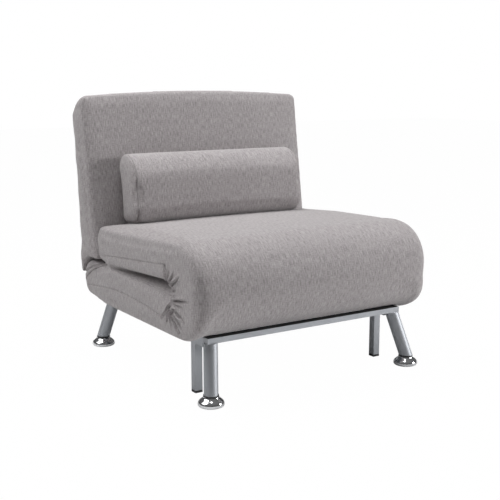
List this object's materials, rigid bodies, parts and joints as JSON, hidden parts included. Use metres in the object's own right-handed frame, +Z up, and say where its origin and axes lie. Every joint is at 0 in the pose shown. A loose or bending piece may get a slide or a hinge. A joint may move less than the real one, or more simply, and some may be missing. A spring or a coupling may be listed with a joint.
{
  "type": "futon chair",
  "caption": "Armless upholstered futon chair on a steel tube frame; folding mattress with round nose, reclining back, pull-out front frame and a loose bolster pillow.",
  "frame": {"origin": "centre of the footprint on the floor, under the chair as it stands folded", "axes": "+X to the right of a viewer in front of the chair, -Y the way the chair faces, +Z up"},
  "size_m": [0.77, 0.775, 0.7993],
  "materials": {
    "grey_fabric": "heathered warm grey weave",
    "foam": "pale cut foam",
    "black_cloth": "black non-woven cloth",
    "silver_paint": "silver grey powder coat",
    "foot_chrome": "bright chrome",
    "plain_steel": "zinc-plated steel",
    "black_plastic": "black moulded plastic",
    "grey_plastic": "grey moulded plastic",
    "plywood": "raw plywood"
  },
  "bodies": {
    "base": {"base_side_rail_left": "silver_paint", "base_side_rail_right": "silver_paint", "base_cross_tube_front": "silver_paint", "base_cross_tube_middle": "silver_paint", "base_cross_tube_rear": "silver_paint", "base_slats": "silver_paint", "square_leg_left": "silver_paint", "square_leg_right": "silver_paint", "square_leg_plugs": "black_plastic", "rear_leg_left": "silver_paint", "rear_leg_right": "silver_paint", "rear_leg_inserts": "plain_steel", "rear_leg_nuts": "plain_steel", "rear_foot_left": "foot_chrome", "rear_foot_right": "foot_chrome", "rear_foot_collars": "black_plastic", "recline_plate_left": "plain_steel", "recline_plate_right": "plain_steel", "recline_plate_rivets": "plain_steel", "ratchet_drum_left": "plain_steel", "ratchet_drum_right": "plain_steel", "base_cover": "grey_fabric", "base_foam": "foam", "base_cloth": "black_cloth"},
    "front_frame": {"front_rail": "silver_paint", "front_rail_caps": "grey_plastic", "runner_left": "silver_paint", "runner_right": "silver_paint", "runner_glides": "black_plastic", "front_leg_left": "silver_paint", "front_leg_right": "silver_paint", "front_leg_inserts": "plain_steel", "front_leg_nuts": "plain_steel", "front_foot_left": "foot_chrome", "front_foot_right": "foot_chrome", "front_foot_collars": "black_plastic"},
    "seat": {"seat_cover": "grey_fabric", "seat_foam_upper": "foam", "seat_foam_lower": "foam", "seat_board": "plywood"},
    "back": {"back_cover": "grey_fabric", "back_foam_front": "foam", "back_foam_rear": "foam", "back_upright_left": "plain_steel", "back_upright_right": "plain_steel", "back_cross_tube_bottom": "plain_steel", "back_cross_tube_top": "plain_steel", "back_springs": "plain_steel", "recline_arm_left": "plain_steel", "recline_arm_right": "plain_steel", "recline_pins": "plain_steel"},
    "pillow": {"pillow_cover": "grey_fabric", "pillow_filling": "foam"}
  },
  "joints": [
    {"name": "pull_out", "type": "slide", "parent": "base", "child": "front_frame", "axis": [0, -1, 0], "range_m": [0, 0.5]},
    {"name": "seat_fold", "type": "hinge", "parent": "base", "child": "seat", "pos_m": [0, -0.3885, 0.2985], "axis": [1, 0, 0], "range_deg": [0, 180]},
    {"name": "back_recline", "type": "hinge", "parent": "base", "child": "back", "pos_m": [0, 0.2825, 0.23092], "axis": [-1, 0, 0], "range_deg": [0, 81]},
    {"name": "pillow_carry", "type": "hinge", "parent": "base", "child": "pillow", "pos_m": [0, -0.4523, 0.31045], "axis": [1, 0, 0], "range_deg": [0, 180]}
  ],
  "couplings": [
    {"joint": "pillow_carry", "follows": "seat_fold", "ratio": 1}
  ]
}
